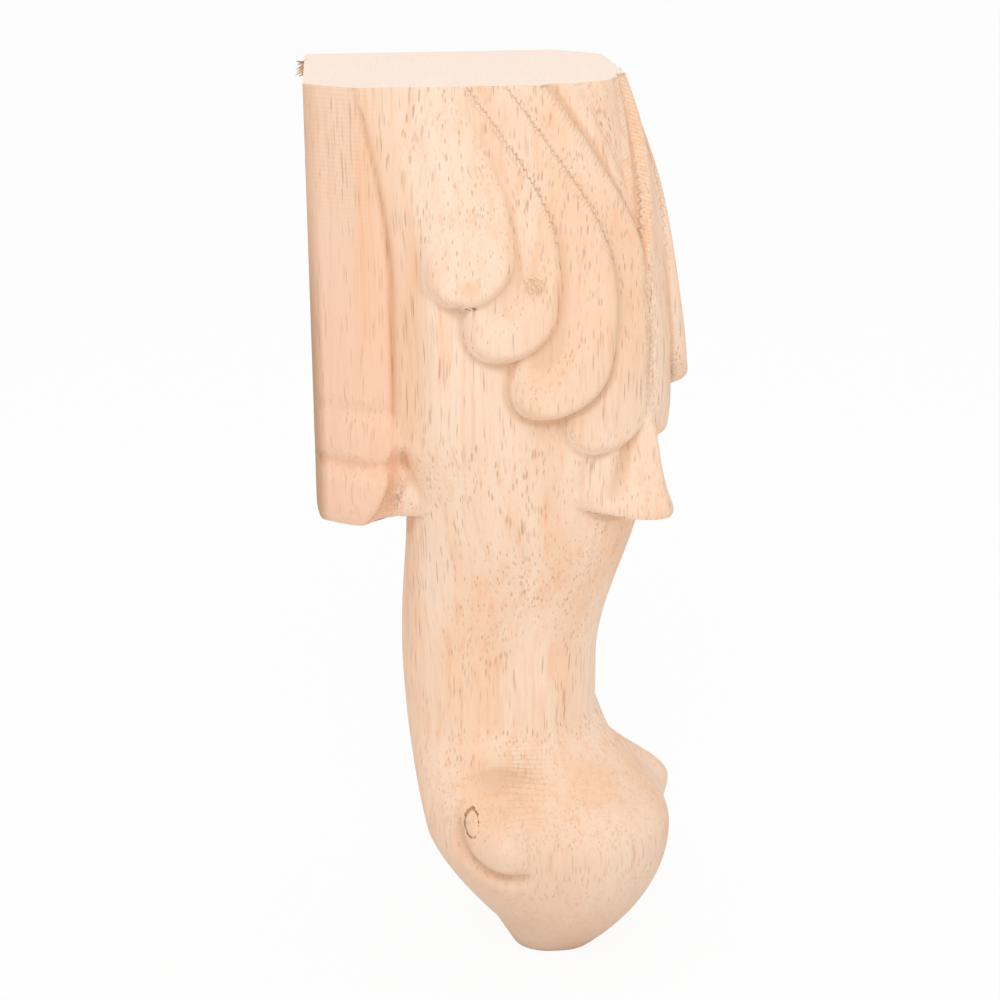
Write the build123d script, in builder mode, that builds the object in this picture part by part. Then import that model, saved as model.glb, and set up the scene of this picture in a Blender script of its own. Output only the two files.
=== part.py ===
"""Carved cabriole furniture leg, made from one piece of wood.

Frame: the origin is on the flat top, +Z up, millimetres.  The two flat inner faces look
to -X and +Y, the two carved faces to -Y and +X.  The leg is its own mirror image in the
upright plane through the front corner, so the carving is drawn on one face and mirrored.
"""

from build123d import *

import os
from math import cos, exp, pi, sin, sqrt

# Overall
leg_height = 150.0
inner_face = 27.0  # origin to each flat inner face

# Knee, measured out from the flat inner faces
knee_top = 49.5
knee_swell = 7.0
knee_drop = 45.0  # where the knee stands out most
knee_round = 16.0  # rounding of the front corner
top_round = 12.8  # the same at the top
knee_end = 72.0  # where the shaft begins
top_setback = 2.0
shaft_setback = 15.0

# Ankle, ball and sole, with their heights above the floor
ankle_rise = 51.0
ankle_run = 5.0  # plain stretch of the ankle
ankle_width = 33.0
ankle_setback = 13.8
ankle_round = 12.0
ball_rise = 23.0
ball_width = 41.8
ball_setback = 17.0
ball_round = 17.0
sole_width = 14.2
sole_setback = 31.8
sole_round = 6.0

# Scroll on each side of the foot
volute_across = 30.0
volute_rise = 28.0
volute_radius = 9.0
groove_radius = 2.3
groove_lead = 25.0  # how far above the middle the groove begins, in degrees
groove_sweep = 150.0
eye_sink = 1.0  # how far below the middle of the groove the eye lies
eye_radius = 7.8
eye_height = 4.2
valley_across = 28.0
valley_rise = 33.4
valley_radius = 7.5
valley_depth = 3.0
valley_half_length = 16.0

# Wing beside the carving, with its knuckle and scroll
wing_depth = 43.0
wing_bow = 8.2
wing_top = 8.0
wing_width = 13.4
wing_run = 32.0  # where the wing reaches its full width
edge_slope = 1.6  # its sloped inner edge
edge_fall = 4.0
wing_end = 70.4
inner_block = 40.0
knuckle_drop = 55.6
knuckle_run = 4.2
knuckle_stand = 0.6
crease_drop = 60.1
crease_run = 1.2
crease_depth = 0.6
scroll_drop = 59.6
scroll_run = 3.6
scroll_stand = 1.4
scroll_cut = 3.0  # how far its inner end is cut back at the bottom
tuck_drop = 65.0  # where the scroll begins to turn under
tuck_depth = 3.6
tuck_side = 1.8

# Fan of lobes on each carved face, from the front corner back
lobe_lifts = (2.8, 5.9, 3.6, 3.2)
lobe_top_lifts = (2.0, 2.0, 2.0, 0.6)
lobe_half_width = 8.0
lobe_top_widths = (5.8, 5.8, 5.8, 4.4)
lobe_thickness = 4.5
lobe_tilt = 7.5
lobe_fullness = 0.7  # below 1 gives a flatter crown
nose_length = 9.0
tip_drops = (57.4, 50.6, 42.4, 34.0)
tip_reaches = (7.6, 17.0, 23.8, 29.6)
belly_reaches = (6.2, 13.7, 20.4, 26.6)
top_reaches = (15.6, 20.9, 26.2, 29.6)

# Leaf on the front corner
leaf_end = 68.6
leaf_stem = 3.4  # half width of its stem
leaf_half_width = 10.8
leaf_root = 3.0  # how deep its edges sit in the knee
leaf_lift = 2.6
leaf_dip = 2.0
dip_drop = 55.0
dip_run = 7.0
leaf_flare = 8.6
leaf_hollow = 2.2
flare_drop = 47.0  # where the stem begins to widen

# Levels and corners of the plain leg
knee_steps = 6
shaft_steps = 6
ball_steps = 10
foot_steps = 9
corner_flats = 6

os.makedirs("parts", exist_ok=True)

ankle_drop = leg_height - ankle_rise
ball_drop = leg_height - ball_rise
diagonal = Plane(origin=(0, 0, 0), z_dir=(1, 1, 0))
side_way = Vector(1, 1, 0).normalized()


def spot(across, out, drop):
    """Point by its distances from the two flat inner faces and below the top."""
    return Vector(across - inner_face, inner_face - out, -drop)


def ease(start, end, share):
    """Value that leaves start and reaches end without a kink."""
    share = min(max(share, 0.0), 1.0)
    return start + (end - start) * (1 - cos(pi * share)) / 2


def knee_front(drop):
    """How far the plain knee stands out below the top."""
    return knee_top + knee_swell * sin(pi * drop / (2 * knee_drop))


def section(drop):
    """Back, front and corner radius of the plain leg at one level."""
    ankle_front = ankle_setback + ankle_width
    ball_front = ball_setback + ball_width
    if drop <= knee_end:
        back = shaft_setback - (shaft_setback - top_setback) * (1 - drop / knee_end) ** 2
        return back, knee_front(drop), ease(top_round, knee_round, drop / knee_drop)
    if drop <= ankle_drop:
        share = (drop - knee_end) / (ankle_drop - knee_end)
        back = ease(shaft_setback, ankle_setback, share)
        slope = (knee_front(knee_end) - knee_front(knee_end - knee_round)) / knee_round
        fall = slope * (ankle_drop - knee_end)
        front = ease(knee_front(knee_end), ankle_front, share) + fall * share * (1 - share) ** 2
        return back, front, ease(knee_round, ankle_round, share)
    if drop <= ball_drop:
        share = (drop - ankle_drop) / (ball_drop - ankle_drop)
        swell = (drop - ankle_drop - ankle_run) / (ball_drop - ankle_drop - ankle_run)
        back = ankle_setback + (ball_setback - ankle_setback) * share**2
        return back, ease(ankle_front, ball_front, swell), ease(ankle_round, ball_round, share)
    share = (drop - ball_drop) / ball_rise
    back = ball_setback + (sole_setback - ball_setback) * share**1.15
    front = ball_front - (ball_front - sole_setback - sole_width) * share**2
    return back, front, min(ball_round + (sole_round - ball_round) * share**2, 0.45 * (front - back))


def outline(back, front, corner):
    """Rounded square of the plain leg, its corners made of flats."""
    reach = (front - back) / 2 - corner
    points = []
    for x, y, quarter in ((reach, reach, 0), (-reach, reach, 1), (-reach, -reach, 2), (reach, -reach, 3)):
        for flat in range(corner_flats + 1):
            angle = pi / 2 * (quarter + flat / corner_flats)
            points.append((x + corner * cos(angle), y + corner * sin(angle)))
    return points


def plain_spot(across, drop):
    """Point of the plain leg's carved face."""
    back, front, corner = section(drop)
    inset = min(max(back + corner - across, 0.0), corner)
    return spot(across, front - corner + sqrt(corner**2 - inset**2), drop)


def on_knee(reach, drop, lift):
    """Point on the knee and its outward direction, reach being measured round from the front corner."""
    corner = section(min(max(drop, 0.0), knee_end))[2]
    centre = knee_front(drop) - corner
    angle = max(pi / 4 - reach / corner, 0.0)
    beyond = max(reach - corner * pi / 4, 0.0)
    out = Vector(sin(angle), -cos(angle), 0)
    return spot(centre - beyond, centre, drop) + out * (corner + lift), out


def bend(start, middle, end, share):
    """Value on a quadratic through start, middle and end."""
    pull = 2 * middle - (start + end) / 2
    return start * (1 - share) ** 2 + 2 * pull * share * (1 - share) + end * share**2


def lobe_rib(half_width, height):
    """Cross-section of a lobe, its full crown made of flats."""
    quarter = [(cos(k * pi / 9) ** lobe_fullness, sin(k * pi / 9) ** lobe_fullness) for k in range(5)]
    crown = [(half_width * x, height * y) for x, y in quarter]
    crown += [(-half_width * x, height * y) for x, y in reversed(quarter)]
    return crown + [(-0.7 * half_width, -0.8 * height), (0.7 * half_width, -0.8 * height)]


def leaf_rib(half_width, lift, hollow):
    """Cross-section of the leaf, with a hollow beside its middle, over the rounded corner."""
    crown = []
    for off in (1, 0.72, 0.45, 0.2, 0, -0.2, -0.45, -0.72, -1):
        x = half_width * off
        ground = sqrt(knee_round**2 - x**2) - knee_round
        dip = hollow * exp(-(((abs(off) - 0.45) / 0.2) ** 2))
        crown.append((x, ground + (lift - dip) * (1 - off**2) ** 1.3))
    floor = crown[0][1] - leaf_root
    return crown + [(-0.6 * half_width, floor), (0.6 * half_width, floor)]


def wing_rib(drop):
    """Plan outline of the wing at one level."""
    edge = wing_top + (wing_width - wing_top) * sin(pi / 2 * min(drop / wing_run, 1))
    edge -= scroll_cut * (max(drop - scroll_drop, 0) / (wing_end - scroll_drop)) ** 1.6
    under = min(max(drop - tuck_drop, 0) / (wing_end - tuck_drop), 1)
    tuck = 1 - sqrt(1 - under**2)
    stand = knuckle_stand * max(1 - ((drop - knuckle_drop) / knuckle_run) ** 2, 0)
    stand += ease(0, scroll_stand, (drop - scroll_drop) / scroll_run) - tuck_depth * tuck
    stand -= crease_depth * exp(-(((drop - crease_drop) / crease_run) ** 2))
    foot = wing_depth + wing_bow * sin(pi / 2 * edge / wing_width) + stand - edge_fall
    points = [spot(0, 0.85 * wing_depth, 0), spot(0, 0, 0)]
    points += [spot(edge + edge_slope, 0, 0), spot(edge + edge_slope, foot, 0)]
    for share in (0.92, 0.62, 0.3, 0):
        across = tuck_side * tuck + (edge - tuck_side * tuck) * share
        points.append(spot(across, wing_depth + wing_bow * sin(pi / 2 * across / wing_width) + stand, 0))
    return [(point.X, point.Y) for point in points]


# Lobes of one face, each lapping over the one before it
with BuildPart() as carving:
    for first_lift, last_lift, top_width, tip_drop, top, belly, tip in zip(
        lobe_top_lifts, lobe_lifts, lobe_top_widths, tip_drops, top_reaches, belly_reaches, tip_reaches
    ):
        nose_start = 1 - nose_length / tip_drop

        def spine(share):
            lift = first_lift + (last_lift - first_lift) * max(share, 0.0) ** 1.8
            return on_knee(bend(top, belly, tip, share), tip_drop * share, lift - lobe_thickness)

        stem = [-0.08, 0.14, 0.33, 0.52, 0.66]
        nose = [nose_start + (1 - nose_start) * part for part in (0, 0.45, 0.75, 0.93, 1.0)]
        for share in stem + nose:
            here, out = spine(share)
            along = (spine(share + 0.01)[0] - spine(share - 0.01)[0]).normalized()
            side = along.cross(out).rotate(Axis((0, 0, 0), tuple(along)), lobe_tilt)
            past = max(share - nose_start, 0) / (1.01 - nose_start)
            taper = (1 - past**2.2) ** (1 / 2.2)
            half_width = ease(top_width, lobe_half_width, 1.8 * share) * taper
            with BuildSketch(Plane(here, x_dir=side, z_dir=along)):
                Polygon(*lobe_rib(half_width, -lobe_thickness * (0.65 + 0.35 * taper)), align=None)
        loft(ruled=True)

# Leaf down the front corner, flared at its foot
with BuildPart() as leaf:
    stem = [flare_drop * part for part in (0, 0.35, 0.7, 1)]
    flared = [flare_drop + (leaf_end - flare_drop) * part for part in (0.3, 0.5, 0.67, 0.81, 0.92, 1)]
    for drop in stem + flared:
        flare = max(drop - flare_drop, 0) / (leaf_end - flare_drop)
        lift = leaf_lift - leaf_dip * exp(-(((drop - dip_drop) / dip_run) ** 2)) + leaf_flare * flare**2.6
        here, out = on_knee(0, drop, 0)
        half_width = leaf_stem + (leaf_half_width - leaf_stem) * flare**1.3
        with BuildSketch(Plane(here, x_dir=side_way, z_dir=(0, 0, -1))):
            Polygon(*leaf_rib(half_width, lift, min(leaf_hollow * 2 * flare, leaf_hollow)), align=None)
    loft(ruled=True)

# Wing at the edge of one face
with BuildPart() as wing:
    plain = [0, 0.3 * wing_run, 0.6 * wing_run, wing_run, knuckle_drop - knuckle_run]
    knuckle = [knuckle_drop + knuckle_run * part for part in (-0.5, 0, 0.5, 0.85)]
    scroll = [crease_drop, scroll_drop + 0.5 * scroll_run, scroll_drop + scroll_run, tuck_drop]
    tuck = [tuck_drop + (wing_end - tuck_drop) * part for part in (0.5, 0.82, 1)]
    for drop in sorted(set(plain + knuckle + scroll + tuck)):
        with BuildSketch(Plane.XY.offset(-drop)):
            Polygon(*wing_rib(drop), align=None)
    loft(ruled=True)

# Middle and lean of the scroll on one side of the foot
volute_drop = leg_height - volute_rise
left = plain_spot(volute_across - volute_radius, volute_drop)
low = plain_spot(volute_across, volute_drop + volute_radius)
between = plain_spot(volute_across - volute_radius * cos(pi / 4), volute_drop + volute_radius * sin(pi / 4))
lean = (between - left).cross(low - between).normalized()
behind = spot(volute_across, 0, volute_drop)
centre = behind - Vector(0, (behind - left).dot(lean) / lean.Y, 0)

# Groove round the scroll, and the valley above it
with BuildPart() as hollows:
    start = (left - centre).rotate(Axis((0, 0, 0), tuple(lean)), -groove_lead)
    with BuildSketch(Plane(centre + start, x_dir=start, z_dir=start.cross(lean))):
        RegularPolygon(groove_radius, 6)
    revolve(axis=Axis(centre, lean), revolution_arc=groove_sweep)
    valley_drop = leg_height - valley_rise
    bed = plain_spot(valley_across, valley_drop)
    downhill = plain_spot(valley_across, valley_drop + valley_depth) - bed
    away = downhill.cross(Vector(1, 0, 0)).normalized()
    middle = bed + away * (valley_radius - valley_depth)
    with BuildSketch(Plane(middle, x_dir=(1, 0, 0), z_dir=away)):
        with BuildLine():
            Polyline(
                (-1.2 * valley_half_length, 0),
                (-valley_half_length, 0.5 * valley_radius),
                (-0.6 * valley_half_length, 0.82 * valley_radius),
                (-0.2 * valley_half_length, valley_radius),
                (0.2 * valley_half_length, valley_radius),
                (0.6 * valley_half_length, 0.82 * valley_radius),
                (valley_half_length, 0.5 * valley_radius),
                (1.2 * valley_half_length, 0),
                close=True,
            )
        make_face()
    revolve(axis=Axis(middle, (1, 0, 0)))

# Domed eye of the scroll
with BuildPart() as eye:
    eye_middle = centre + (low - centre).normalized() * eye_sink
    with BuildSketch(Plane(eye_middle, x_dir=start, z_dir=start.cross(lean))):
        with BuildLine():
            Polyline(
                (0, -eye_height),
                (eye_radius, 0),
                (0.75 * eye_radius, 0.44 * eye_height),
                (0.5 * eye_radius, 0.75 * eye_height),
                (0.22 * eye_radius, 0.95 * eye_height),
                (0, eye_height),
                close=True,
            )
        make_face()
    revolve(axis=Axis(eye_middle, lean))

levels = [knee_end * k / knee_steps for k in range(knee_steps)]
levels += [knee_end + (ankle_drop - knee_end) * k / shaft_steps for k in range(shaft_steps)]
levels += [ankle_drop + (ball_drop - ankle_drop) * k / ball_steps for k in range(ball_steps)]
levels += [ball_drop + ball_rise * k / foot_steps for k in range(foot_steps + 1)]

with BuildPart() as carved_leg:
    # Plain cabriole leg
    for level in levels:
        back, front, corner_round = section(level)
        middle = (back + front) / 2
        with BuildSketch(Plane(spot(middle, middle, level))):
            Polygon(*outline(back, front, corner_round), align=None)
    loft(ruled=True)

    # Scrolls of the foot
    add(eye.part)
    mirror(eye.part, about=diagonal)
    add(hollows.part, mode=Mode.SUBTRACT)
    mirror(hollows.part, about=diagonal, mode=Mode.SUBTRACT)

    # Solid inner corner of the block
    with BuildSketch():
        with Locations(spot(inner_block / 2, inner_block / 2, 0)):
            Rectangle(inner_block, inner_block)
    extrude(amount=-wing_end)
    add(leaf.part)
    for side in (carving, wing):
        add(side.part)
        mirror(side.part, about=diagonal)
    split(bisect_by=Plane.XY, keep=Keep.BOTTOM)

carved_leg.part.label = "carved_leg"
export_step(carved_leg.part, "parts/carved_leg.step")
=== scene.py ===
"""Looks of the carved wooden furniture leg, in metres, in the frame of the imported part."""

import random
from math import asin, atan2, cos, exp, pi, radians, sin, sqrt

import bmesh
import bpy
import numpy as np
from mathutils import Matrix, Vector


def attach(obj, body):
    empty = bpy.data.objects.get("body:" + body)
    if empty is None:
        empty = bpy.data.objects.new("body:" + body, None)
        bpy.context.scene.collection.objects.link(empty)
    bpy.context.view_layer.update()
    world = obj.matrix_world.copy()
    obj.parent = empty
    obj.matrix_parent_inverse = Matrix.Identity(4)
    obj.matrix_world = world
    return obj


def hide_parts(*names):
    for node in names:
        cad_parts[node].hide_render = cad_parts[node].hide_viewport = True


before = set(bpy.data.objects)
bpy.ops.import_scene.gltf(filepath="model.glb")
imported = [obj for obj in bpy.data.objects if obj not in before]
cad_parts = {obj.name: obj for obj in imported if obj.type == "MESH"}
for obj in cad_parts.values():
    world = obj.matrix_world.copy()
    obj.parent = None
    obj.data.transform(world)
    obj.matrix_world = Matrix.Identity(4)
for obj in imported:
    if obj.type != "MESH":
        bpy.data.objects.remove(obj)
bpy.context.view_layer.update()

mm = 0.001
inner_face = 27.0

# Plain leg, in millimetres, measured out from the flat inner faces and down from the top
leg_height = 150.0
knee_top = 49.5
knee_swell = 7.0
knee_drop = 45.0
knee_round = 16.0
top_round = 12.8
block_end = 70.4
top_setback = 2.0
shaft_setback = 15.0
ankle_drop = 99.0
ankle_run = 7.0
ankle_width = 33.0
ankle_setback = 13.8
ankle_round = 12.0
ball_drop = 127.0
ball_width = 41.8
ball_setback = 17.0
ball_round = 17.0
sole_width = 14.2
sole_setback = 31.8
sole_round = 6.2

# Wing at the edge of each carved face
wing_depth = 43.0
wing_bow = 8.4
wing_top = 7.6
wing_width = 12.6
wing_run = 32.0
knuckle_drop = 55.6
knuckle_run = 4.2
knuckle_stand = 0.55
fold_drop = 51.0
fold_depth = 0.45
crease_drop = 60.1
crease_run = 1.2
crease_depth = 0.6
scroll_drop = 59.6
scroll_run = 3.6
scroll_stand = 1.2
scroll_sink = 1.4
cut_drop = 61.0
cut_run = 9.4
cut_depth = 4.5
tuck_drop = 65.0
tuck_run = 5.4
tuck_depth = 3.6
corner_drop = 65.6
corner_run = 4.8
corner_pull = 1.6
edge_wave = 0.8
nick_depth = 0.35

# Fan of lobes, from the front corner back
lobe_count = 4
lobe_half_width = 8.0
lobe_top_width = 5.8
nose_length = 9.0
nose_fall = 0.9
lobe_lifts = (2.8, 5.8, 3.8, 3.4)
lobe_top_lifts = (2.0, 2.0, 2.0, 0.8)
lobe_tilt = 0.13
lobe_cushion = 0.9
lobe_belly = 1.3
lobe_wall = 2.6
lobe_bevel = 2.2
lap_top_steps = (0.0, 0.7, 0.7, -0.5)
lap_step = 1.6
lap_run = 6.0
tip_drops = (58.3, 51.8, 42.6, 34.2)
tips = (7.6, 17.0, 23.8, 29.6)
bellies = (6.2, 12.7, 20.2, 26.6)
tops = (14.8, 20.4, 26.2, 31.0)

volute_across = 29.4
volute_drop = 122.4
volute_radius = 7.9
groove_depth = 2.5
groove_start = -0.3
groove_stop = 2.1
eye_height = 2.6
eye_radius = 4.4
eye_sink = 1.6
valley_depth = 3.3

leaf_end = 68.8
leaf_bow = 0.022
leaf_stem = 3.0
leaf_top = 4.6
leaf_spread = 10.4
leaf_hollow = 2.7
leaf_ridge = 4.4
leaf_hem = 3.2
flare_drop = 47.0
lip_run = 2.4
panel_width = 4.8
panel_end = 17.0
panel_depth = 0.9
corner_crease = 0.8
web_fall = 0.32
nothing = -99.0

# Blemishes of the near fan, from the origin
stain_spot = (-2.4, -31.0, -30.0)
crack_spot = (-2.2, -30.0, -33.2)
pulled_spot = (7.6, -31.0, -29.8)

# Colours of the wood
pale_wood = (0.965, 0.735, 0.565, 1)
peach_wood = (0.935, 0.63, 0.43, 1)
fleck_brown = (0.5, 0.26, 0.15, 1)
wing_pink = (0.94, 0.54, 0.36, 1)
rim_brown = (0.4, 0.19, 0.1, 1)
crease_shade_brown = (0.66, 0.38, 0.23, 1)
hollow_shade_brown = (0.66, 0.37, 0.2, 1)
raised_peach = (0.94, 0.65, 0.46, 1)
nick_brown = (0.66, 0.38, 0.22, 1)
scraped_brown = (0.7, 0.42, 0.24, 1)
torn_orange = (0.64, 0.33, 0.16, 1)
stain_orange = (0.94, 0.53, 0.27, 1)
crack_brown = (0.3, 0.14, 0.07, 1)
pulled_yellow = (0.72, 0.42, 0.17, 1)
sawn_pale_lit = (0.98, 0.82, 0.71, 1)
sawn_peach_lit = (0.95, 0.77, 0.65, 1)
under_shade_grey = (0.78, 0.57, 0.43, 1)
torn_pale = (0.74, 0.5, 0.34, 1)
torn_peach = (0.58, 0.34, 0.2, 1)
torn_fleck = (0.34, 0.17, 0.09, 1)

# Camera, in metres
camera_aim = (0.004158, -0.000289, -0.073404)
camera_distance = 0.395416

# Mesh of the leg
front_columns = 125
inner_columns = 29
block_rows = 180
shaft_rows = 36
foot_rows = 88
foot_start = 105.0


def ease(start, end, share):
    """Value that leaves start and reaches end without a kink."""
    share = min(max(share, 0.0), 1.0)
    return start + (end - start) * (1 - cos(pi * share)) / 2


def bend(start, middle, end, share):
    """Value on a quadratic through start, middle and end."""
    pull = 2 * middle - (start + end) / 2
    return start * (1 - share) ** 2 + 2 * pull * share * (1 - share) + end * share**2


def bell(distance, width):
    """Bump of height 1 and soft flanks."""
    return exp(-((distance / width) ** 2))


def join(first, second, blend):
    """Higher of two heights, with a soft inner corner."""
    rounding = max(blend - abs(first - second), 0.0)
    return max(first, second) + rounding**2 / (4 * blend)


def knee_front(drop):
    return knee_top + knee_swell * sin(pi * drop / (2 * knee_drop))


def section(drop):
    """Back, front and corner radius of the plain leg at one level."""
    ankle_front = ankle_setback + ankle_width
    ball_front = ball_setback + ball_width
    if drop <= block_end:
        share = drop / block_end
        back = shaft_setback - (shaft_setback - top_setback) * (1 - share) ** 2
        return back, knee_front(drop), ease(top_round, knee_round, drop / knee_drop)
    if drop <= ankle_drop:
        run = ankle_drop - block_end
        share = (drop - block_end) / run
        slope = knee_swell * pi / (2 * knee_drop) * cos(pi * block_end / (2 * knee_drop)) * run
        front = (knee_front(block_end) * (1 + 2 * share) + slope * share) * (1 - share) ** 2
        front += ankle_front * share**2 * (3 - 2 * share)
        return ease(shaft_setback, ankle_setback, share), front, ease(knee_round, ankle_round, share)
    if drop <= ball_drop:
        share = (drop - ankle_drop) / (ball_drop - ankle_drop)
        swell = (drop - ankle_drop - ankle_run) / (ball_drop - ankle_drop - ankle_run)
        back = ankle_setback + (ball_setback - ankle_setback) * share**2
        return back, ease(ankle_front, ball_front, swell), ease(ankle_round, ball_round, share)
    share = (drop - ball_drop) / (leg_height - ball_drop)
    lean = 0.761 * (share / 0.72) ** 1.3 if share < 0.72 else 0.761 + 0.239 * (share - 0.72) / 0.28
    back = ball_setback + (sole_setback - ball_setback) * lean
    front = ball_front - (ball_front - sole_setback - sole_width) * share**2
    return back, front, ball_round + (sole_round - ball_round) * share**2


def lobe_place(lobe, reach, drop):
    """Share of the length, distance aside, half width, share of the nose and distance off the middle."""
    share = drop / tip_drops[lobe]
    half = ease(lobe_top_width, lobe_half_width, 1.8 * share)
    aside = reach - bend(tops[lobe], bellies[lobe], tips[lobe], share)
    if lobe == lobe_count - 1 and aside > 0:
        half *= 1 + 0.3 * (1 - ease(0, 1, (share - 0.45) / 0.45))
    past = max(drop - tip_drops[lobe] + nose_length, 0.0) / nose_length
    off = (abs(aside / half) ** 2.2 + past**2.2) ** (1 / 2.2)
    return share, aside, half, past, off


def lobe_crown(lobe, share, aside, half, past):
    """Height of the crown of one lobe over the plain knee, without its edges."""
    share, past = min(share, 1.0), min(past, 1.0)
    aside = min(max(aside, -half), half)
    top_lift = lobe_top_lifts[lobe]
    lift = top_lift + (lobe_lifts[lobe] - top_lift) * share**4
    lift += lobe_belly * sin(pi * min(share * tip_drops[lobe] / knee_drop, 1.0))
    lift -= lobe_tilt * aside * (1 - 0.6 * past**2)
    return lift - lobe_cushion * (aside / half) ** 2 - nose_fall * past**2


def lap_sink(lobe, crown, reach, drop):
    """How far a lobe sinks beside the next one, which laps over it."""
    upper = lobe + 1
    if upper == lobe_count or drop > tip_drops[upper] + lap_run:
        return 0.0
    share, aside, half, past, off = lobe_place(upper, reach, drop)
    step = lap_top_steps[upper] + (lap_step - lap_top_steps[upper]) * min(share, 1.0)
    sink = max(crown - lobe_crown(upper, share, aside, half, past) + step, 0.0)
    return sink * (1 - ease(0, 1, (off - 1) * half / lap_run))


def lobe_height(lobe, reach, drop):
    """Height of one lobe over the plain knee."""
    if drop >= tip_drops[lobe]:
        return nothing
    share, aside, half, past, off = lobe_place(lobe, reach, drop)
    if off >= 1:
        return nothing
    crown = lobe_crown(lobe, share, aside, half, past)
    crown -= lap_sink(lobe, crown, reach, drop)
    edge = (1 - off) * half
    depth = max(lobe_wall, crown + 0.6)
    if lobe == lobe_count - 1 and aside > 0:
        soft = lobe_bevel + 6.0 * (1 - ease(0, 1, (share - 0.5) / 0.4))
        return crown - depth * (1 - ease(0, 1, edge / soft))
    return crown - depth * (1 - min(edge / lobe_bevel, 1.0)) ** 2


def leaf_height(reach, drop):
    """Height of the leaf over the plain knee, on its front corner."""
    end = leaf_end - leaf_bow * reach**2
    if drop >= end:
        return nothing
    flare = max(drop - flare_drop, 0.0) / (leaf_end - flare_drop)
    half = leaf_stem + leaf_top * max(1 - drop / 30, 0) ** 1.3 + leaf_spread * flare**1.4
    off = reach / half
    if off >= 1:
        return nothing
    lift = ease(2.4, 1.6, drop / 14) + ease(0, 1.8, (drop - 36) / 20)
    lip = max(drop - end + lip_run, 0.0) / lip_run
    hollow = leaf_hollow * min(2.2 * flare, 1.0) * bell(off - 0.43, 0.25)
    panel = panel_depth * (1 - ease(0, 1, (reach - panel_half(drop) + 0.9) / 1.6))
    ridge = leaf_ridge * flare**1.3 * bell(off, 0.42) * (1 - off**2)
    hem = leaf_hem * flare**4 * (1 - off**2) ** 1.5
    body = lift * (1 - off**2) ** 1.3 + ridge + hem - lip_run * (1 - sqrt(max(1 - lip**2, 0)))
    return body - hollow * (1 - off**2) - panel - 0.2


def panel_half(drop):
    """Half width of the sunk panel at the top of the leaf."""
    return panel_width * (1 - drop / panel_end)


def wing_edge(drop):
    """Where the wing's inner edge lies, out from the flat inner face."""
    return wing_top + (wing_width - wing_top) * sin(pi / 2 * min(drop / wing_run, 1.0))


def wing_out(across, drop):
    """How far the wing stands out from the back inner face."""
    edge = wing_edge(drop)
    share = min(max(across / wing_width, 0.0), 1.0)
    face = wing_depth + wing_bow * sin(pi / 2 * share) ** 0.95
    knuckle = knuckle_stand * max(1 - ((drop - knuckle_drop) / knuckle_run) ** 2, 0.0)
    crease = crease_depth * bell(drop - crease_drop, crease_run)
    crease += fold_depth * bell(drop - fold_drop, crease_run)
    scroll = scroll_stand * ease(0, 1, (drop - scroll_drop) / scroll_run)
    out = face + knuckle + scroll - crease
    away = min(max(drop - tuck_drop, 0.0) / tuck_run, 1.0)
    out -= tuck_depth * (1 - sqrt(max(1 - away**2, 0.0)))
    reach_edge = edge + edge_wave * bell(drop - knuckle_drop, 3.4) - edge_wave * bell(drop - 60.0, 1.6)
    reach_edge -= cut_depth * (max(drop - cut_drop, 0.0) / cut_run) ** 1.6
    step = 0.6 + ease(0, 0.5, drop / 30) + ease(0, 3.3, (drop - 50) / 14)
    ramp = ease(1.8, 4.4, (drop - 46) / 12)
    nick = nick_depth * bell(across - edge - 0.4, 0.7) * ease(0, 1, drop / 8)
    return out - step * ease(0, 1, (across - reach_edge) / ramp + 0.4) - nick


def left_pull(drop):
    """How far the wing's rounded lower corner draws in."""
    away = max(drop - corner_drop, 0.0) / corner_run
    return corner_pull * (1 - sqrt(max(1 - min(away, 1.0) ** 2, 0.0)))


def scroll_sag(p, q, drop):
    """How far the scroll's end hangs lower towards the flat inner face."""
    if drop > block_end:
        return 0.0
    aside, out = min(p, q), max(p, q)
    hang = scroll_sink * ease(0, 1, (drop - 60) / 10.4) * max(1 - aside / wing_width, 0.0)
    return hang * ease(0, 1, (out - 24) / 14)


def volute_height(across, drop):
    """Height of the scroll on one side of the foot over the plain ball."""
    aside, above = across - volute_across, volute_drop - drop
    away = sqrt(aside**2 + above**2)
    turn = atan2(-above, -aside)
    groove = groove_depth * groove_fade(turn) * bell(away - volute_radius, 1.2)
    dome = bell(sqrt(aside**2 + (above + eye_sink) ** 2), eye_radius)
    eye = eye_height * dome * (1 - 0.7 * ease(0, 1, aside / 7))
    valley = valley_depth * bell(above - 6.4, 3.0) * bell(aside + 1.5, 7.5)
    return eye - groove - valley


def groove_fade(turn):
    """Depth of the groove along its turn, from 0 at its ends to 1."""
    share = (turn - groove_start) / (groove_stop - groove_start)
    return sqrt(sin(pi * share)) if 0 < share < 1 else 0.0


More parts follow.
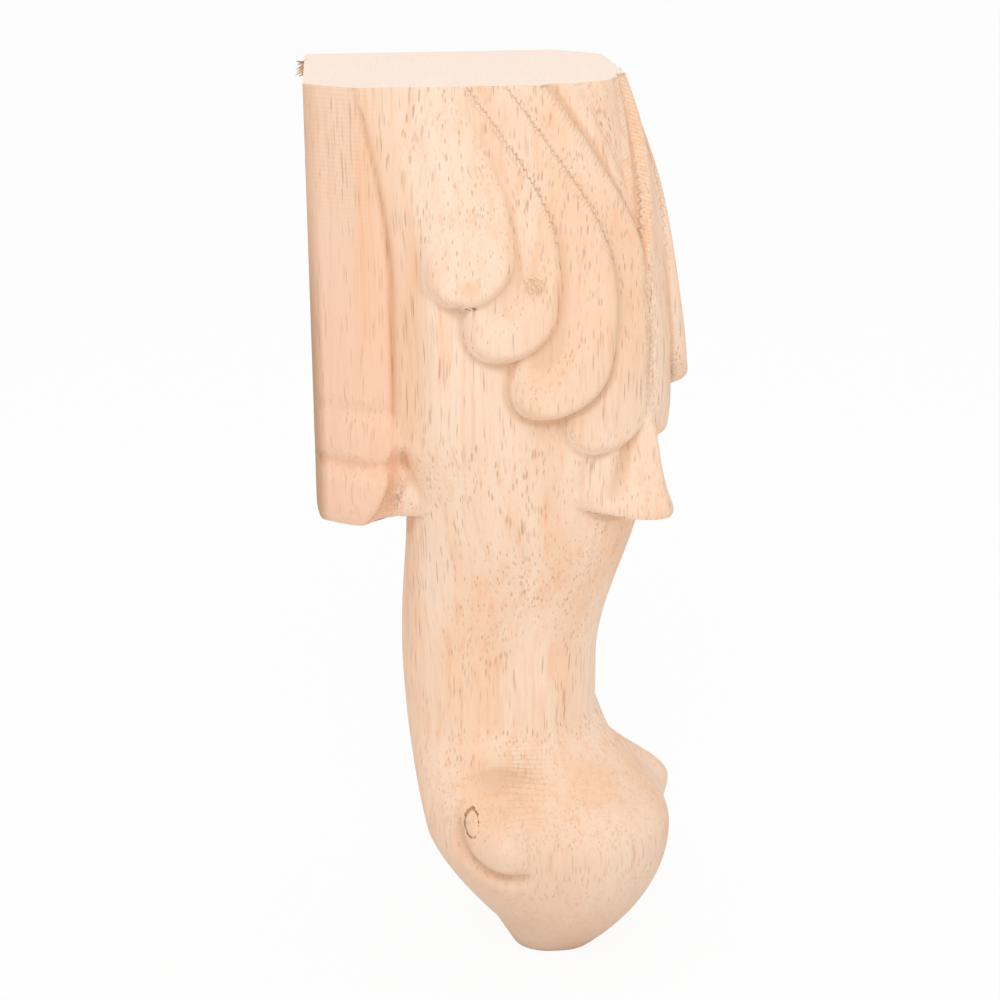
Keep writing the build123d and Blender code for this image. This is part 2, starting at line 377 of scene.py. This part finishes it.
def carved_side(drop, share):
    """Point of the carved block, from the front corner at share 0 to the flat inner face at share 1."""
    back, front, corner = section(drop)
    centre = front - corner
    arc = corner * pi / 4
    reach = (arc + centre) * share
    angle = max(pi / 4 - reach / corner, 0.0)
    across = centre - max(reach - arc, 0.0)
    inset = max(back + corner - across, 0.0)
    fall = corner - sqrt(max(corner**2 - inset**2, 0.0)) + 3 * max(inset - corner, 0.0)
    height = -fall * ease(web_fall, 1, (drop - 54) / 16)
    for lobe in range(lobe_count):
        height = join(height, lobe_height(lobe, reach, drop), 0.5)
    height = join(height, lobe_height(0, -reach, drop), 0.5)
    height = join(height, leaf_height(reach, drop), 0.9)
    height -= corner_crease * bell(reach, 0.9) * ease(0, 1, (drop - 20) / 12) * ease(1, 0, (drop - 50) / 8)
    if reach > arc:
        edge = wing_edge(drop)
        beside = ease(1, 0, (across - edge) / 7) * ease(1, 0, (drop - 55) / 5)
        behind = 5 * ease(0, 1, (edge + 0.8 - across) / 2.6) + 14 * ease(0, 1, (edge - 1 - across) / 5)
        web = front + height + (wing_depth + wing_bow - 0.5 - front - height) * beside
        out = join(web - behind, wing_out(across, drop), ease(0.7, 1.6, (drop - 46) / 10))
        pull = left_pull(drop) * max(1 - across / 8, 0.0)
        return across + pull, out
    return centre + (corner + height) * sin(angle), centre + (corner + height) * cos(angle)


def shaft_side(drop, share):
    """Point of the shaft and foot, from the front corner at share 0 to the middle of the left side."""
    back, front, corner = section(drop)
    centre = front - corner
    low = back + corner
    reach = (corner * pi / 4 + centre) * share
    angle = max(pi / 4 - reach / corner, 0.0)
    across = centre - max(reach - corner * pi / 4, 0.0)
    if across < low:
        turn = 0.95 * corner
        inset = low - across
        if inset <= turn:
            angle = -asin(inset / corner)
        else:
            angle = -asin(0.95) - (pi / 2 - asin(0.95)) * (inset - turn) / (low - turn)
    middle = min(max(across, low), centre) if angle <= 0 else centre
    height = volute_height(middle + corner * sin(angle), drop) * cos(angle) ** 2 if drop > 100 else 0.0
    return middle + (corner + height) * sin(angle), centre + (corner + height) * cos(angle)


def shaft_inner(drop, share):
    """Point of the shaft's hidden side, from its left side at share 0 to the inner corner at share 1."""
    back, front, corner = section(drop)
    low, straight = back + corner, front - back - 2 * corner
    run = share * (straight + corner * pi / 4)
    if run < straight:
        return back, front - corner - run
    angle = (run - straight) / corner
    return low - corner * cos(angle), low - corner * sin(angle)


def top_lobe(reach, drop):
    """Number of the lobe that shows at a point of the knee, or None."""
    heights = [lobe_height(lobe, reach, drop) for lobe in range(lobe_count)]
    best = max(range(lobe_count), key=lambda lobe: heights[lobe])
    if heights[best] < 0.2 or leaf_height(reach, drop) > heights[best]:
        return None
    return best


def marks(column, drop):
    """Tool marks of one point: stitched edge, its run, wing, machined lines and torn fibre, with the seam,
    which carries painted shade along creases.
    """
    found = {"stitch": 0.0, "run": drop, "wing": 0.0, "lined": 0.0, "torn": 0.0, "seam": 0.0}
    if column > front_columns or drop == 0:
        return found
    back, front, corner = section(drop)
    centre = front - corner
    arc = corner * pi / 4
    reach = (arc + centre) * column / front_columns
    across = centre - max(reach - arc, 0.0)
    if drop <= block_end:
        edge = wing_edge(drop)
        found["wing"] = 1 - ease(0, 1, (across - edge + 0.5) / 1.5)
        # seam: painted shade along the crease at the wing's inner edge
        found["seam"] = bell(across - edge - 0.4, 0.6) * ease(0, 1, drop / 8) * ease(1, 0, (drop - 50) / 6)
        found["lined"] = 0.45 * ease(1, 0, (drop - 14) / 14) * ease(1, 0, (across - 6) / 8)
        along_corner = ease(0, 1, (drop - 20) / 12) * ease(1, 0, (drop - 48) / 8)
        found["torn"] = 0.7 * bell(reach - 0.4, 1.1) * along_corner
        found["torn"] += bell(across - 12.5, 2.2) * bell(drop - 66, 3.6)
        lobe = top_lobe(reach, drop)
        if lobe is not None:
            share, aside, half, past, off = lobe_place(lobe, reach, drop)
            inside = (1 - off) * half
            right = 1.0 if aside < 0 else 0.0
            worn = 0.7 * ease(0, 1, (share - 0.35) / 0.35)
            found["stitch"] = bell(inside - 0.9, 1.2) * right * (1 - worn)
            if lobe == lobe_count - 1:
                found["stitch"] = 0.0
                # seam: painted shade along the edge crease of the last lobe
                found["seam"] += 0.7 * right * bell(inside - 0.3, 0.5) * ease(0, 1, (share - 0.15) / 0.25)
            found["run"] = drop - 0.7 * aside
        elif drop < panel_end:
            found["stitch"] = 0.5 * bell(reach - panel_half(drop), 1.1)
            found["run"] = drop + 0.7 * reach
    elif drop > 100:
        aside, above = across + max(arc - reach, 0.0) - volute_across, volute_drop - drop
        turn = atan2(-above, -aside)
        away = sqrt(aside**2 + above**2)
        found["stitch"] = 0.6 * groove_fade(turn) * bell(away - volute_radius, 1.3)
        found["run"] = volute_radius * turn
        # seam: painted shade along the foot's groove
        found["seam"] = 0.8 * groove_fade(turn) * bell(away - volute_radius, 0.9)
        found["lined"] = 1.8 * bell(aside - 3.4, 3.6) * bell(above - 7.4, 4.8)
        found["torn"] = 0.5 * bell(away - volute_radius, 1.2) * bell(turn + 0.2, 0.35)
    return found


def leg_point(column, drop):
    """Point of one half of the leg, columns counted from the front corner to the inner corner."""
    on_block = drop <= block_end
    if column <= front_columns:
        side = carved_side if on_block else shaft_side
        return side(drop, column / front_columns)
    share = (column - front_columns) / inner_columns
    if not on_block:
        return shaft_inner(drop, share)
    across, out = carved_side(drop, 1.0)
    return across * (1 - share), out * (1 - share)


def new_piece(name, bm, material):
    """Object from a bmesh, riding on the leg."""
    mesh = bpy.data.meshes.new(name)
    bm.to_mesh(mesh)
    bm.free()
    mesh.materials.append(material)
    piece = bpy.data.objects.new(name, mesh)
    bpy.context.collection.objects.link(piece)
    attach(piece, "root")
    return piece


def row_drops():
    """Level of every row of the mesh below the top."""
    shaft_start = block_end + 0.35
    drops = [block_end * row / block_rows for row in range(block_rows + 1)]
    drops += [shaft_start + (foot_start - shaft_start) * row / shaft_rows for row in range(shaft_rows + 1)]
    drops += [foot_start + (leg_height - foot_start) * row / foot_rows for row in range(1, foot_rows + 1)]
    return drops


def leg_sheet(drops):
    """Points of the whole leg by row and column, in millimetres, starting at the inner corner."""
    sheet = []
    for drop in drops:
        near = [leg_point(column, drop) for column in range(front_columns + inner_columns + 1)]
        ring = near[::-1] + [(q, p) for p, q in near[1:]]
        sheet.append([(p - inner_face, inner_face - q, -drop - scroll_sag(p, q, drop)) for p, q in ring])
    return np.array(sheet)


def hollowness(sheet, passes):
    """How far each point lies under its surroundings, in millimetres."""
    smooth = sheet.copy()
    for _ in range(passes):
        rows = np.concatenate([smooth[:1], smooth, smooth[-1:]])
        columns = np.concatenate([smooth[:, -2:-1], smooth, smooth[:, 1:2]], axis=1)
        smooth = (rows[:-2] + rows[2:] + columns[:, :-2] + columns[:, 2:]) / 4
    down, along = np.gradient(sheet, axis=0), np.gradient(sheet, axis=1)
    normal = np.cross(along, down)
    normal /= np.linalg.norm(normal, axis=2, keepdims=True) + 1e-9
    outward = np.sign(normal[..., 0] * (sheet[..., 0] - 8) + normal[..., 1] * (sheet[..., 1] + 8))
    return ((smooth - sheet) * normal).sum(axis=2) * outward


def carve_leg(material):
    """The whole leg from one sheet, wrapped round and closed at the top and the sole."""
    drops = row_drops()
    half = front_columns + inner_columns
    across, down = 2 * half, len(drops) - 1
    sheet = leg_sheet(drops)
    hollow = hollowness(sheet, 14)
    bm = bmesh.new()
    names = ("stitch", "run", "wing", "lined", "torn", "seam")
    layers = {name: bm.verts.layers.float.new(name) for name in names + ("hollow",)}
    bmesh.ops.create_grid(bm, x_segments=across, y_segments=down, size=1.0)
    known = {}
    for vert in bm.verts:
        column = round((vert.co.x + 1) / 2 * across)
        row = round((1 - vert.co.y) / 2 * down)
        beside = abs(column - half)
        if (beside, row) not in known:
            known[beside, row] = marks(beside, drops[row])
        vert.co = Vector(sheet[row, column]) * mm
        for name in names:
            vert[layers[name]] = known[beside, row][name]
        vert[layers["hollow"]] = hollow[row, column] if row else 0.0
    rims = [edge for edge in bm.edges if edge.is_boundary]
    seam = {vert for edge in rims for vert in edge.verts}
    bmesh.ops.remove_doubles(bm, verts=list(seam), dist=0.00001)
    bmesh.ops.holes_fill(bm, edges=[edge for edge in bm.edges if edge.is_boundary], sides=0)
    bmesh.ops.recalc_face_normals(bm, faces=bm.faces)
    for face in bm.faces:
        face.smooth = len(face.verts) == 4
    for edge in bm.edges:
        edge.smooth = edge.calc_face_angle(0.0) < radians(48)
    return new_piece("carved_wood", bm, material)


def plug(tree, target, value):
    """Links a socket to an input, or sets the input to a value."""
    if isinstance(value, bpy.types.NodeSocket):
        tree.links.new(value, target)
    else:
        target.default_value = value


def maths(tree, operation, first, second=0.0):
    node = tree.nodes.new("ShaderNodeMath")
    node.operation = operation
    plug(tree, node.inputs[0], first)
    plug(tree, node.inputs[1], second)
    return node.outputs[0]


def times(tree, first, second):
    return maths(tree, "MULTIPLY", first, second)


def rise(tree, value, low, high):
    """Soft step from 0 at low to 1 at high."""
    node = tree.nodes.new("ShaderNodeMapRange")
    node.interpolation_type = "SMOOTHSTEP"
    plug(tree, node.inputs["Value"], value)
    plug(tree, node.inputs["From Min"], low)
    plug(tree, node.inputs["From Max"], high)
    return node.outputs["Result"]


def tint(tree, share, first, second, mode="MIX"):
    node = tree.nodes.new("ShaderNodeMix")
    node.data_type = "RGBA"
    node.blend_type = mode
    plug(tree, node.inputs[0], share)
    plug(tree, node.inputs[6], first)
    plug(tree, node.inputs[7], second)
    return node.outputs[2]


def stretch(tree, place, scale):
    node = tree.nodes.new("ShaderNodeMapping")
    plug(tree, node.inputs["Vector"], place)
    node.inputs["Scale"].default_value = scale
    return node.outputs[0]


def cloud(tree, place, scale, detail=2.0):
    """Soft noise with its own scale along each axis, in cycles a millimetre."""
    node = tree.nodes.new("ShaderNodeTexNoise")
    plug(tree, node.inputs["Vector"], stretch(tree, place, scale))
    node.inputs["Scale"].default_value = 1.0
    node.inputs["Detail"].default_value = detail
    return node.outputs[0]


def specks(tree, place, scale, radius, soft):
    """Scattered spots, 1 inside and 0 outside, stretched by the scale."""
    node = tree.nodes.new("ShaderNodeTexVoronoi")
    plug(tree, node.inputs["Vector"], stretch(tree, place, scale))
    node.inputs["Scale"].default_value = 1.0
    inner = maths(tree, "SUBTRACT", radius, soft)
    outer = maths(tree, "ADD", radius, soft)
    return maths(tree, "SUBTRACT", 1.0, rise(tree, node.outputs["Distance"], inner, outer))


def millimetres(tree):
    """Object coordinates in millimetres."""
    node = tree.nodes.new("ShaderNodeTexCoord")
    return stretch(tree, node.outputs["Object"], (1000, 1000, 1000))


def mark(tree, name):
    """Value of one tool mark of the mesh."""
    node = tree.nodes.new("ShaderNodeAttribute")
    node.attribute_name = name
    return node.outputs["Fac"]


def blemish(tree, place, middle, sizes):
    """Oval spot about a point, 1 inside and 0 outside, in millimetres."""
    away = tree.nodes.new("ShaderNodeVectorMath")
    away.operation = "SUBTRACT"
    plug(tree, away.inputs[0], place)
    away.inputs[1].default_value = middle
    measured = tree.nodes.new("ShaderNodeVectorMath")
    measured.operation = "LENGTH"
    plug(tree, measured.inputs[0], stretch(tree, away.outputs[0], [1 / size for size in sizes]))
    return maths(tree, "SUBTRACT", 1.0, rise(tree, measured.outputs["Value"], 0.35, 1.0))


def wood_figure():
    """Grain of pale wood along the leg: soft tone, streaks, fibre and brown vessel flecks."""
    tree = bpy.data.node_groups.new("wood_figure", "ShaderNodeTree")
    tree.interface.new_socket("Flecks", in_out="INPUT", socket_type="NodeSocketFloat")
    for name in ("Pale", "Peach", "Fleck"):
        tree.interface.new_socket(name, in_out="INPUT", socket_type="NodeSocketColor")
    tree.interface.new_socket("Color", in_out="OUTPUT", socket_type="NodeSocketColor")
    tree.interface.new_socket("Height", in_out="OUTPUT", socket_type="NodeSocketFloat")
    given = tree.nodes.new("NodeGroupInput")
    place = millimetres(tree)
    wander = tree.nodes.new("ShaderNodeTexNoise")
    plug(tree, wander.inputs["Vector"], stretch(tree, place, (0.06, 0.06, 0.025)))
    wander.inputs["Scale"].default_value = 1.0
    drift = tree.nodes.new("ShaderNodeVectorMath")
    drift.operation = "MULTIPLY_ADD"
    plug(tree, drift.inputs[0], wander.outputs["Color"])
    drift.inputs[1].default_value = (5.0, 5.0, 0.0)
    plug(tree, drift.inputs[2], place)
    grain = drift.outputs[0]
    tone = rise(tree, cloud(tree, grain, (0.09, 0.09, 0.014), 3.0), 0.34, 0.66)
    streak = rise(tree, cloud(tree, grain, (0.9, 0.9, 0.02)), 0.45, 0.8)
    fibre = cloud(tree, grain, (4.5, 4.5, 0.14))
    crowd = cloud(tree, grain, (0.16, 0.16, 0.05))
    short = specks(tree, grain, (1.9, 1.9, 0.115), times(tree, crowd, 0.42), 0.09)
    long = specks(tree, grain, (1.5, 1.5, 0.05), times(tree, crowd, 0.36), 0.08)
    fleck = maths(tree, "MAXIMUM", short, times(tree, long, 0.8))
    depth = rise(tree, cloud(tree, grain, (0.7, 0.7, 0.1)), 0.25, 0.7)
    color = tint(tree, tone, given.outputs["Pale"], given.outputs["Peach"])
    color = tint(tree, times(tree, streak, 0.4), color, given.outputs["Peach"], "MULTIPLY")
    color = tint(tree, times(tree, rise(tree, fibre, 0.5, 0.8), 0.2), color, given.outputs["Fleck"])
    shown = times(tree, fleck, times(tree, depth, given.outputs["Flecks"]))
    color = tint(tree, shown, color, given.outputs["Fleck"])
    pits = times(tree, fleck, -0.05)
    height = maths(tree, "ADD", times(tree, fibre, 0.04), pits)
    done = tree.nodes.new("NodeGroupOutput")
    plug(tree, done.inputs["Color"], color)
    plug(tree, done.inputs["Height"], height)
    return tree


def wood_material(figure):
    """Bare sanded wood with its tool marks."""
    material = bpy.data.materials.new("bare_wood")
    material.use_nodes = True
    tree = material.node_tree
    shader = tree.nodes["Principled BSDF"]
    shader.inputs["Specular IOR Level"].default_value = 0.25
    grain = tree.nodes.new("ShaderNodeGroup")
    grain.node_tree = figure
    grain.inputs["Pale"].default_value = pale_wood
    grain.inputs["Peach"].default_value = peach_wood
    grain.inputs["Fleck"].default_value = fleck_brown
    facing = tree.nodes.new("ShaderNodeNewGeometry")
    turned = tree.nodes.new("ShaderNodeSeparateXYZ")
    plug(tree, turned.inputs[0], facing.outputs["True Normal"])
    level = rise(tree, maths(tree, "ABSOLUTE", turned.outputs["Z"]), 0.3, 0.8)
    plug(tree, grain.inputs["Flecks"], maths(tree, "SUBTRACT", 0.62, times(tree, level, 0.45)))
    place = millimetres(tree)
    apart = tree.nodes.new("ShaderNodeSeparateXYZ")
    plug(tree, apart.inputs[0], place)
    color = grain.outputs["Color"]
    dust = cloud(tree, place, (1.8, 1.8, 1.8), 3.0)
    # Wing and its brown outer edge
    rim = maths(tree, "MAXIMUM", times(tree, apart.outputs["X"], -1.0), apart.outputs["Y"])
    lower = rise(tree, apart.outputs["Z"], -10.0, -45.0)
    low = maths(tree, "ADD", times(tree, lower, 0.6), 0.4)
    winged = times(tree, mark(tree, "wing"), low)
    color = tint(tree, times(tree, winged, 0.62), color, wing_pink)
    brown = times(tree, rise(tree, rim, 24.8, 26.8), winged)
    color = tint(tree, brown, color, rim_brown)
    # Painted shade along the creases at the wing's edge, the last lobe's edge and the foot's groove
    color = tint(tree, times(tree, mark(tree, "seam"), 0.45), color, crease_shade_brown)
    # Painted shade in the hollows, and warmer raised parts
    hollow = mark(tree, "hollow")
    color = tint(tree, times(tree, rise(tree, hollow, 0.03, 0.4), 0.45), color, hollow_shade_brown)
    proud = rise(tree, times(tree, hollow, -1.0), 0.05, 0.3)
    color = tint(tree, times(tree, proud, 0.3), color, raised_peach)
    # Stitched edges, machined lines and torn fibre
    beat = maths(tree, "SINE", times(tree, mark(tree, "run"), 2 * pi / 0.64))
    stitch = times(tree, mark(tree, "stitch"), beat)
    nick = times(tree, mark(tree, "stitch"), rise(tree, beat, 0.1, 0.9))
    color = tint(tree, times(tree, nick, 0.3), color, nick_brown)
    lines = maths(tree, "SINE", times(tree, apart.outputs["Z"], 2 * pi / 0.7))
    machined = mark(tree, "lined")
    lined = times(tree, lines, times(tree, machined, rise(tree, dust, 0.35, 0.65)))
    scraped = times(tree, machined, rise(tree, times(tree, lines, dust), 0.1, 0.5))
    color = tint(tree, times(tree, scraped, 0.3), color, scraped_brown)
    fuzz = rise(tree, cloud(tree, place, (3.0, 3.0, 1.6), 4.0), 0.45, 0.7)
    torn = times(tree, mark(tree, "torn"), fuzz)
    color = tint(tree, times(tree, torn, 0.5), color, torn_orange)
    # Stain, crack and torn spot on the near fan
    ragged = rise(tree, cloud(tree, place, (2.2, 2.2, 1.5), 4.0), 0.4, 0.62)
    stain = blemish(tree, place, stain_spot, (2.4, 9, 1.9))
    color = tint(tree, times(tree, stain, 0.45), color, stain_orange)
    crack = times(tree, blemish(tree, place, crack_spot, (1.9, 9, 0.5)), ragged)
    color = tint(tree, times(tree, crack, 0.9), color, crack_brown)
    pulled = times(tree, blemish(tree, place, pulled_spot, (2.6, 9, 2.4)), ragged)
    color = tint(tree, times(tree, pulled, 0.42), color, pulled_yellow)
    torn = maths(tree, "MAXIMUM", torn, pulled)
    # Pale end grain on the sawn top, painted paler still as painted light on the lit top; painted shade,
    # greyer, under the foot
    sawn_and_lit = tint(tree, rise(tree, dust, 0.35, 0.7), sawn_pale_lit, sawn_peach_lit)
    color = tint(tree, rise(tree, turned.outputs["Z"], 0.9, 0.99), color, sawn_and_lit)
    # Painted shade: greyer towards the underside of the foot
    under = times(tree, rise(tree, apart.outputs["Z"], -110.0, -147.0), 0.6)
    color = tint(tree, under, color, under_shade_grey)
    plug(tree, shader.inputs["Base Color"], color)
    plug(tree, shader.inputs["Roughness"], maths(tree, "ADD", times(tree, dust, 0.25), 0.5))
    height = maths(tree, "ADD", grain.outputs["Height"], times(tree, stitch, 0.03))
    height = maths(tree, "ADD", height, times(tree, lined, 0.02))
    height = maths(tree, "SUBTRACT", height, times(tree, torn, 0.12))
    bump = tree.nodes.new("ShaderNodeBump")
    bump.inputs["Strength"].default_value = 1.0
    bump.inputs["Distance"].default_value = mm
    plug(tree, bump.inputs["Height"], height)
    plug(tree, shader.inputs["Normal"], bump.outputs[0])
    return material


def torn_material(figure):
    """Darker torn fibre."""
    material = bpy.data.materials.new("torn_wood")
    material.use_nodes = True
    tree = material.node_tree
    shader = tree.nodes["Principled BSDF"]
    shader.inputs["Roughness"].default_value = 0.8
    shader.inputs["Specular IOR Level"].default_value = 0.2
    grain = tree.nodes.new("ShaderNodeGroup")
    grain.node_tree = figure
    grain.inputs["Flecks"].default_value = 0.8
    grain.inputs["Pale"].default_value = torn_pale
    grain.inputs["Peach"].default_value = torn_peach
    grain.inputs["Fleck"].default_value = torn_fleck
    bump = tree.nodes.new("ShaderNodeBump")
    bump.inputs["Distance"].default_value = mm
    plug(tree, bump.inputs["Height"], grain.outputs["Height"])
    plug(tree, shader.inputs["Base Color"], grain.outputs["Color"])
    plug(tree, shader.inputs["Normal"], bump.outputs[0])
    return material


def spot(p, q, drop):
    """Point in metres from its distances to the flat inner faces and below the top."""
    return Vector((p - inner_face, inner_face - q, -drop)) * mm


def add_splinter(bm, foot, tip, width):
    """Thin tapered splinter from foot to tip."""
    way = tip - foot
    turned = way.to_track_quat("Z", "Y").to_matrix().to_4x4()
    placed = Matrix.Translation((foot + tip) / 2) @ turned
    bmesh.ops.create_cone(bm, cap_ends=True, segments=5, radius1=width * mm, radius2=width * mm / 8,
                          depth=way.length, matrix=placed)


def fray_top_edge(material):
    """Tuft of torn fibre left by the saw at the edge of the top."""
    chance = random.Random(5)
    bm = bmesh.new()
    for _ in range(16):
        along = chance.uniform(9, 24)
        foot = spot(0.4, along, chance.uniform(0.2, 0.6))
        tip = spot(-chance.uniform(0.5, 1.6), along + chance.uniform(-3, 3), chance.uniform(-0.3, 1.8))
        add_splinter(bm, foot, tip, chance.uniform(0.16, 0.34))
    return new_piece("splinter_tuft", bm, material)


def foot_spot(across, drop):
    """Point on the near side of the foot, by its distance from the flat inner face."""
    back, front, corner = section(drop)
    centre = front - corner
    share = (centre - across + corner * pi / 4) / (centre + corner * pi / 4)
    return spot(*shaft_side(drop, share), drop)


def lay_lens(name, middle, sizes, rough, material):
    """Flat ragged oval body that follows the surface of the foot."""
    across, drop = middle
    half_width, thickness, half_length = sizes
    chance = random.Random(8)
    along = foot_spot(across + 1, drop) - foot_spot(across - 1, drop)
    down = foot_spot(across, drop + 1) - foot_spot(across, drop - 1)
    out = down.cross(along).normalized()
    bm = bmesh.new()
    bmesh.ops.create_uvsphere(bm, u_segments=24, v_segments=14, radius=1.0)
    for vert in bm.verts:
        ragged = 1 + chance.uniform(-rough, rough)
        aside, above = vert.co.x * half_width * ragged, vert.co.z * half_length * ragged
        vert.co = foot_spot(across + aside, drop - above) + out * vert.co.y * thickness * mm
    bmesh.ops.recalc_face_normals(bm, faces=bm.faces)
    for face in bm.faces:
        face.smooth = True
    return new_piece(name, bm, material)


def loosen_chip(pale, dark):
    """Loose oval chip in a torn knot beside the foot's scroll."""
    lay_lens("torn_knot", (24.0, 121.2), (1.3, 0.12, 2.0), 0.16, dark)
    lay_lens("loose_chip", (24.15, 121.3), (1.15, 0.3, 1.8), 0.05, pale)


def place_camera():
    """Camera at the photograph's viewing angle."""
    turn, tilt, roll = radians(-3.97), radians(16.961), radians(-0.592)
    back = Vector((sin(turn) * cos(tilt), -cos(turn) * cos(tilt), sin(tilt)))
    right = Vector((cos(turn), sin(turn), 0))
    up = back.cross(right)
    right, up = right * cos(roll) + up * sin(roll), up * cos(roll) - right * sin(roll)
    data = bpy.data.cameras.new("camera")
    data.lens = 82.8
    data.sensor_width = 36
    data.clip_start = 0.01
    camera = bpy.data.objects.new("camera", data)
    bpy.context.collection.objects.link(camera)
    turned = Matrix((right, up, back)).transposed().to_4x4()
    camera.matrix_world = Matrix.Translation(Vector(camera_aim) + back * camera_distance) @ turned
    bpy.context.scene.camera = camera


def lay_floor():
    """Pale floor that shows white to the camera and keeps a soft shadow."""
    bm = bmesh.new()
    bmesh.ops.create_grid(bm, x_segments=1, y_segments=1, size=4.0)
    bmesh.ops.translate(bm, verts=bm.verts, vec=(0, 0, -leg_height * mm))
    mesh = bpy.data.meshes.new("floor")
    bm.to_mesh(mesh)
    bm.free()
    floor = bpy.data.objects.new("floor", mesh)
    bpy.context.collection.objects.link(floor)
    material = bpy.data.materials.new("floor_white")
    material.use_nodes = True
    nodes, links = material.node_tree.nodes, material.node_tree.links
    nodes.remove(nodes["Principled BSDF"])
    matt = nodes.new("ShaderNodeBsdfDiffuse")
    matt.inputs["Color"].default_value = (0.9, 0.9, 0.9, 1)
    glow = nodes.new("ShaderNodeEmission")
    path = nodes.new("ShaderNodeLightPath")
    seen = nodes.new("ShaderNodeMath")
    seen.operation = "MULTIPLY"
    seen.inputs[1].default_value = 0.92
    mix = nodes.new("ShaderNodeMixShader")
    links.new(path.outputs["Is Camera Ray"], seen.inputs[0])
    links.new(seen.outputs[0], mix.inputs[0])
    links.new(matt.outputs[0], mix.inputs[1])
    links.new(glow.outputs[0], mix.inputs[2])
    links.new(mix.outputs[0], nodes["Material Output"].inputs["Surface"])
    mesh.materials.append(material)


def hang_lamp(name, place, aim, size, power):
    """Soft square lamp turned towards a point."""
    data = bpy.data.lights.new(name, "AREA")
    data.size = size
    data.energy = power
    lamp = bpy.data.objects.new(name, data)
    lamp.location = place
    lamp.rotation_euler = (Vector(aim) - Vector(place)).to_track_quat("-Z", "Y").to_euler()
    bpy.context.collection.objects.link(lamp)


def light_world():
    """Even white surroundings."""
    world = bpy.data.worlds.new("studio")
    world.use_nodes = True
    nodes, links = world.node_tree.nodes, world.node_tree.links
    around = nodes["Background"]
    around.inputs["Strength"].default_value = 0.74
    seen = nodes.new("ShaderNodeBackground")
    seen.inputs["Color"].default_value = (1, 1, 1, 1)
    around.inputs["Color"].default_value = (1, 1, 1, 1)
    path = nodes.new("ShaderNodeLightPath")
    mix = nodes.new("ShaderNodeMixShader")
    links.new(path.outputs["Is Camera Ray"], mix.inputs[0])
    links.new(around.outputs[0], mix.inputs[1])
    links.new(seen.outputs[0], mix.inputs[2])
    links.new(mix.outputs[0], nodes["World Output"].inputs["Surface"])
    bpy.context.scene.world = world


figure = wood_figure()
bare_wood = wood_material(figure)
torn_wood = torn_material(figure)
leg = carve_leg(bare_wood)
fray_top_edge(torn_wood)
loosen_chip(bare_wood, torn_wood)
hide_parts("carved_leg")
place_camera()
lay_floor()
light_world()
hang_lamp("key_lamp", (-0.08, -0.98, 0.75), (0, 0, -0.07), 0.6, 4.5)
hang_lamp("top_lamp", (0, 0.1, 0.9), (0, 0, -0.07), 0.8, 1.4)
bpy.context.scene.view_settings.view_transform = "Standard"
